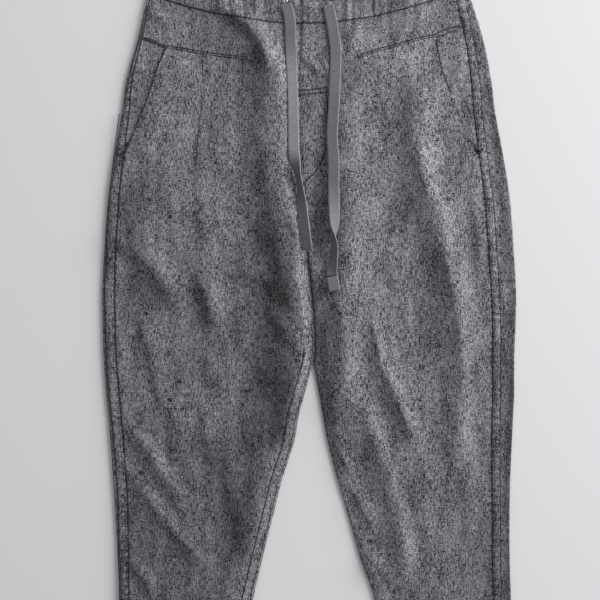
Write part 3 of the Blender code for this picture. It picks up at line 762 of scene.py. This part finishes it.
def roundEdge(side, down, start, k, sheet, radius, rise=0.0):  # from the seam on the front round the outer edge
    order = inwards(side)
    turn = edgeX(side, down) + order * radius
    angle = np.pi * np.clip((k - sheet["over"]) / sheet["bend"], 0, 1)
    onTop = k <= sheet["over"]
    x = np.where(onTop, mix(start, turn, k / sheet["over"]), turn - order * radius * np.sin(angle))
    z = np.where(onTop, clothHeight(x, down) + rise, radius * (1 + np.cos(angle)))
    return x, z, turn, -radius * angle


def layBack(side):
    over, bend = back["over"], back["bend"]
    columns = over + bend + back["under"]
    levels = rowLevels(back["rows"], ())

    def place(column, row):
        level = levels[row.astype(int)]
        k = column if side == "left" else columns - column
        start = seamX(side, level) - inwards(side) * garment["seamGap"]
        x, z, turn, bent = roundEdge(side, level, start, k, back, garment["edgeRadius"])
        beneath = k > over + bend
        x = np.where(beneath, mix(turn, innerX(side, level), (k - over - bend) / back["under"]), x)
        around = np.where(k <= over, np.abs(x - turn), bent - np.where(beneath, np.abs(x - turn), 0))
        return x, level, z, cutFrom["back"] + around, level

    return layCloth("trouser_back_" + side, columns, back["rows"], place, garment["wall"], "back_" + side)


def layFacing(side):
    order = inwards(side)
    start, full = pocket[side]
    outerTop, innerTop = pocket["facingTop"]
    foot = pocket["facingFoot"][side]
    columns, rows = 22, 70

    def place(column, row):
        k = columns - column if side == "left" else column
        share = k / columns
        level = mix(mix(start + outerTop, full + innerTop, share), foot, row / rows)
        outer = seamX(side, level) + order * pocket["facingOut"]
        mouth = pocketX(side, level) + order * pocket["under"] * ramp(level, full, full + 30)
        x = mix(outer, mouth, share)
        down = frontDown(x, level)
        z = clothHeight(x, down) - pocket["drop"] * ramp(share, 0, 0.6)
        return x, down, z, cutFrom["facing"] + x, level

    name = "pocket_facing_" + side
    return layCloth(name + "_cloth", columns, rows, place, garment["wall"], name)


fronts = {side: layFront(side) for side in ("left", "right")}
print("trouser backs and pocket facings")
backs = {side: layBack(side) for side in ("left", "right")}
facings = {side: layFacing(side) for side in ("left", "right")}

print("waistband")


def notchDepth(x):
    away = np.abs(x - band["notchMiddle"])
    half, soft = band["notchHalf"], band["notchSoft"]
    return band["notch"] * (1 - ramp(away, half - soft, half + soft))


def layFrontBand():
    columns, rows = 280, 14

    def place(column, row):
        level = band["height"] * row / rows
        left, right = bandSeamX("left", level) + garment["seamGap"], bandSeamX("right", level) - garment["seamGap"]
        x = mix(right, left, column / columns)
        down = mix(waistDip(x) + notchDepth(x), band["height"] + waistDip(x), row / rows)
        across = row / rows
        roll = band["roll"] * (1 - np.sqrt(np.clip(1 - (1 - np.minimum(1, across * 6)) ** 2, 0, 1)))
        z = clothHeight(x, down) + band["step"] - roll
        return x, down, z, cutFrom["frontBand"] + x * band["gathered"], level

    return layCloth("waistband_front_cloth", columns, rows, place, band["wall"], "waistband_front")


def layBackBand():
    sheet, under, rows = {"over": 6, "bend": 10}, 120, 12
    turned = sheet["over"] + sheet["bend"]
    columns = 2 * turned + under

    def place(column, row):
        down = band["height"] * row / rows
        left, right = (roundEdge(name, down, bandSeamX(name, down) - inwards(name) * garment["seamGap"], k, sheet,
                                 band["radius"], band["step"])
                       for name, k in (("left", column), ("right", columns - column)))
        flat = (column > turned) & (column < columns - turned)
        x, z = (np.where(column <= columns / 2, left[i], right[i]) for i in (0, 1))
        x = np.where(flat, mix(left[2], right[2], (column - turned) / under), x)
        z = np.where(flat, band["backGather"] * (1 + np.sin(x / 1.9 + 1.3 * np.sin(x / 23))), z)
        return x, down, z, cutFrom["backBand"] + x * band["gathered"], down

    return layCloth("waistband_back_cloth", columns, rows, place, band["wall"], "waistband_back")


frontBand, backBand = layFrontBand(), layBackBand()

print("felled seams")

felled = {"left": 12.5, "right": 11.0, "inseam": 13.0, "wall": 0.6, "rise": 0.55, "fromSeam": 0.3, "fromLeg": 2.0,
          "edgeDrop": 0.35, "puff": 0.6, "inseamPuff": 0.3, "sideRows": 400, "inseamRows": 300, "inseamStart": 465}


def stripHeight(share, wave, puff):  # pressed edges, and puckers between them
    edge = felled["edgeDrop"] * (np.abs(2 * share - 1) > 0.9)
    return felled["rise"] - edge + puff * np.sin(np.pi * share) * (1 + wave)


def layFelledSide(side):
    columns, rows = 8, felled["sideRows"]
    order = inwards(side)
    levels = np.linspace(front["top"] + 1, garment["length"] - 0.3, rows + 1)

    def place(column, row):
        level = levels[row.astype(int)]
        k = column if side == "left" else columns - column
        width = np.minimum(felled[side], np.maximum(1.5, outline(side + "Seam", level) - 3.2))
        x = seamX(side, level) - order * (felled["fromSeam"] + width * k / columns)
        z = clothHeight(x, level) + stripHeight(k / columns, sideSeamWave(level), felled["puff"])
        return x, level, z, cutFrom["sideSeam"] + x, level

    return layCloth("felled_side_seam_" + side, columns, rows, place, felled["wall"])


def layInseam():
    columns, rows = 12, felled["inseamRows"]
    levels = np.linspace(felled["inseamStart"], garment["length"] - 0.3, rows + 1)

    def place(column, row):
        level = levels[row.astype(int)]
        share = column / columns
        width = felled["inseam"] * ramp(level, 455, 520)
        bend = garment["innerBend"]
        reach = felled["fromLeg"] + width * share
        angle = np.pi / 2 - np.arcsin(np.clip((bend - reach) / bend, 0, 1))
        x = innerX("left", level) - reach
        top = clothHeight(x, level)
        z = np.where(reach < bend, mix(garment["seat"], top, np.sin(angle)), top)
        z = z + stripHeight(share, inseamWave(level), felled["inseamPuff"])
        return x, level, z, cutFrom["inseam"] + x, level

    return layCloth("felled_inseam_left", columns, rows, place, felled["wall"])


strips = {side: layFelledSide(side) for side in ("left", "right")}
strips["inseam"] = layInseam()

print("stitching")

stitch = {"long": 3.0, "pitch": 3.4, "around": 6, "steps": 6, "gap": 0.12, "dive": 0.25, "overStrip": 1.3}
# how thick each line of stitches looks, and how far its middle lies above the cloth. The lines are drawn thicker
# than the thread, so their black is partly painted shade of the seams' grooves.
threads = {"sideSeam": (1.3, 0.55), "sideEdge": (0.8, 0.9), "dart": (1.6, 0.4), "dartTwin": (1.2, 0.35),
           "mouthBold": (1.8, 0.5), "mouth": (0.8, 0.45), "tack": (1.7, 0.9), "slantTack": (1.8, 0.9),
           "creaseShadowThread": (0.7, 0.15), "hem": (0.85, 0.1), "inseamEdge": (1.1, 0.75), "inseam": (1.2, 0.75),
           "flyTop": (1.7, 0.4), "flyCurve": (1.4, 0.4), "middle": (0.8, 0.0), "waist": (2.1, 0.35)}


def layStitches(name, lines):
    # Each line is its points, its thread and the height of what it lies on. A row of stitches is one tube that
    # narrows and dips between them.
    bm = bmesh.new()
    rowCounts = []
    for path, kind, surface in lines:
        length = np.sum(np.hypot(*np.diff(np.array(path, float), axis=0).T))
        rowCounts.append(max(2, int(length / stitch["pitch"])) * stitch["steps"])
        bmesh.ops.create_grid(bm, x_segments=stitch["around"], y_segments=rowCounts[-1], size=0.5)
    bm.verts.index_update()
    grid = np.array([vert.co for vert in bm.verts])
    places, first = [], 0
    for (path, kind, surface), rows in zip(lines, rowCounts):
        thick, rise = threads[kind]
        last = first + (stitch["around"] + 1) * (rows + 1)
        column = np.rint((grid[first:last, 0] + 0.5) * stitch["around"])
        row = np.rint((grid[first:last, 1] + 0.5) * rows).astype(int)
        points = np.array(path, float)
        run = np.concatenate([[0], np.cumsum(np.hypot(*np.diff(points, axis=0).T))])
        at = np.linspace(0, run[-1], rows + 1)
        x, down = np.interp(at, run, points[:, 0]), np.interp(at, run, points[:, 1])
        aheadX, aheadY = np.gradient(x), -np.gradient(down)
        size = np.hypot(aheadX, aheadY)
        share = (np.arange(rows + 1) % stitch["steps"]) / stitch["steps"]
        within = np.clip((share - 0.5) * stitch["pitch"] / stitch["long"] * 2, -1, 1)
        radius = np.maximum(thick / 2 * np.sqrt(1 - within**2), stitch["gap"])
        z = surface(x, down) + rise - stitch["dive"] * (radius <= stitch["gap"])
        angle = 2 * np.pi * column / stitch["around"]
        aside = radius[row] * np.cos(angle)
        places.append(np.stack([x[row] - aheadY[row] / size[row] * aside,
                                modelY(down[row]) + aheadX[row] / size[row] * aside,
                                z[row] + radius[row] * np.sin(angle)], 1))
        first = last
    mesh = bpy.data.meshes.new(name)
    bm.to_mesh(mesh)
    mesh.vertices.foreach_set("co", (np.concatenate(places) * mm).ravel())
    bm.clear()
    bm.from_mesh(mesh)
    bmesh.ops.remove_doubles(bm, verts=bm.verts, dist=1e-6)
    bm.to_mesh(mesh)
    bm.free()
    return finishPiece(addObject(name, mesh, thread), "cloth")


def bandTop(x, down):
    return clothHeight(x, down) + band["step"]


def downLine(xOf, start, end, step=6.0):
    levels = np.arange(start, end, step)
    return [(float(xOf(level)), float(level)) for level in levels]


def besideLine(points, shift):  # the same line moved down by some millimetres
    return [(x, down + shift) for x, down in points]


darts = {"left": [(142, 37.4), (155, 41), (166, 46), (205, 52.5), (248, 58.6)],
         "right": [(357, 57.5), (374, 50.4), (398, 44.5), (417.6, 39), (435, 34.7), (448, 28.7), (461, 27)]}
fly = {"upper": [(298.5, 91.5), (327.5, 88)], "lower": [(298.5, 95.5), (327.5, 92.8)],
       "curve": [(327, 97), (327.2, 120), (327, 143), (325.9, 150), (322.6, 159.6), (316.4, 171.5), (303, 184.4)]}
barTacks = {"left": [(120.5, 153.5), (126, 159)], "right": [(473.6, 155.6), (483.3, 148.7)],
            "rightSlant": [(469.5, 140.5), (477.5, 151.0)]}
# a black thread line along the pressed front crease: painted shadow of the crease, not a seam
creaseShadowThread = [(203.5, 60), (202, 90), (200, 125), (196, 165)]


def overStrip(x, down):  # the cloth, and the felled strip outside the side seam
    strips = [ramp(inwards(side) * (seamX(side, down) - x), -1, 1) for side in ("left", "right")]
    return clothHeight(x, down) + stitch["overStrip"] * np.max(strips, 0)


outerStart = {"left": 190, "right": 50}  # where the outer of the two side seam lines comes round the edge
seamEnd = garment["length"] - 1

for side in ("left", "right"):
    order = inwards(side)
    lines = []
    for kind, inset, first in (("sideSeam", 0.5, 52), ("sideSeam", felled[side] + 0.1, outerStart[side]),
                               ("sideEdge", 3.2, 52)):
        seam = downLine(lambda d: seamX(side, d) - order * inset, first, seamEnd)
        lines.append((seam, kind, clothHeight))
    layStitches("side_seam_stitches_" + side, lines)

    dart = fromPhoto(darts[side])
    lines = [(dart, "dart", clothHeight), (besideLine(dart[:5], 3.0), "dartTwin", clothHeight)]
    start, full = pocket[side]
    boldEnd = full + pocket["bold"][side]
    mouth = downLine(lambda d: pocketX(side, d) + order * 0.6, full + 3, boldEnd)
    lines.append((mouth, "mouthBold", clothHeight))
    mouth = downLine(lambda d: pocketX(side, d) + order * 0.8, boldEnd, pocket["foot"] - 3)
    lines.append((mouth, "mouth", clothHeight))
    for shift in (0.0, 0.7):
        lines.append((besideLine(fromPhoto(barTacks[side]), shift), "tack", overStrip))
    if side == "right":
        lines.append((fromPhoto(barTacks["rightSlant"]), "slantTack", clothHeight))
    else:
        lines.append((fromPhoto(creaseShadowThread), "creaseShadowThread", clothHeight))
    hem = garment["length"] - garment["hemDepth"] + 1.5
    edge = [(seamX(side, hem), hem), (innerX(side, hem) - order * 6, hem)]
    lines.append((edge, "hem", clothHeight))
    layStitches("pocket_and_hem_stitches_" + side, lines)

lines = []
for kind, inset, first in (("inseamEdge", 3.6, 470), ("inseam", 1.2 + felled["inseam"], 500)):
    lines.append((downLine(lambda d: innerX("left", d) - inset, first, seamEnd), kind, clothHeight))
layStitches("inseam_stitches_left", lines)

lines = [(fromPhoto(fly[part]), kind, clothHeight)
         for part, kind in (("upper", "flyTop"), ("lower", "flyTop"), ("curve", "flyCurve"))]
lines.append((downLine(lambda d: innerX("left", d) + 0.15, 125, 420, 5), "middle", clothHeight))
layStitches("fly_stitches", lines)

waist = [(x, band["height"] + float(waistDip(x)) + 0.2) for x in np.arange(-208, 192, 3.0)]
layStitches("waistband_stitches", [(waist, "waist", clothHeight)])

print("eyelet")

eyelet = {"x": -30.9, "down": 42.6, "outer": 6.0, "wire": 1.7, "sunk": 0.5, "wireSides": 14, "steps": 40}


def layEyelet():
    bm = bmesh.new()
    ring = (eyelet["outer"] - eyelet["wire"]) / 2
    bmesh.ops.create_circle(bm, segments=eyelet["wireSides"], radius=eyelet["wire"] / 2 * mm)
    bmesh.ops.rotate(bm, verts=bm.verts, cent=(0, 0, 0), matrix=Matrix.Rotation(math.pi / 2, 3, "X"))
    bmesh.ops.translate(bm, verts=bm.verts, vec=(ring * mm, 0, 0))
    bmesh.ops.spin(bm, geom=bm.edges[:], axis=(0, 0, 1), cent=(0, 0, 0), angle=2 * math.pi, steps=eyelet["steps"],
                   use_merge=True)
    bmesh.ops.remove_doubles(bm, verts=bm.verts, dist=1e-6)
    bmesh.ops.recalc_face_normals(bm, faces=bm.faces)
    low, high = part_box("eyelet_left")
    top = max(float(bandTop(eyelet["x"], eyelet["down"])), low.z / mm - eyelet["sunk"])
    middle = Vector((eyelet["x"], modelY(eyelet["down"]), top + eyelet["wire"] / 2)) * mm
    bmesh.ops.translate(bm, verts=bm.verts, vec=middle)
    mesh = bpy.data.meshes.new("eyelet")
    bm.to_mesh(mesh)
    bm.free()
    return finishPiece(addObject("eyelet", mesh, metal), "eyelet", "eyelet_left")


layEyelet()

print("what each sheet was cut to")

for made, rests in ((backs["left"], []), (backs["right"], []), (fronts["left"], [backs["left"]]),
                    (fronts["right"], [backs["right"]]), (facings["left"], [backs["left"]]),
                    (facings["right"], [backs["right"]]), (backBand, []), (frontBand, [backBand]),
                    (strips["left"], [backs["left"]]), (strips["right"], [backs["right"]]),
                    (strips["inseam"], [fronts["left"]])):
    area = sum(face.area for face in made.data.polygons)  # one face of the sheet, before its wall
    length = max(made.dimensions.x, made.dimensions.y)
    wide = max(min(made.dimensions.x, made.dimensions.y), area / length * 1.02)
    if area < 0.4 * wide * length:  # a narrow strip that lies on a slant
        wide = area / length * 1.05
    print(made.name, "cut", round(wide, 4), "by", round(length, 4), "m, area", round(area, 4))
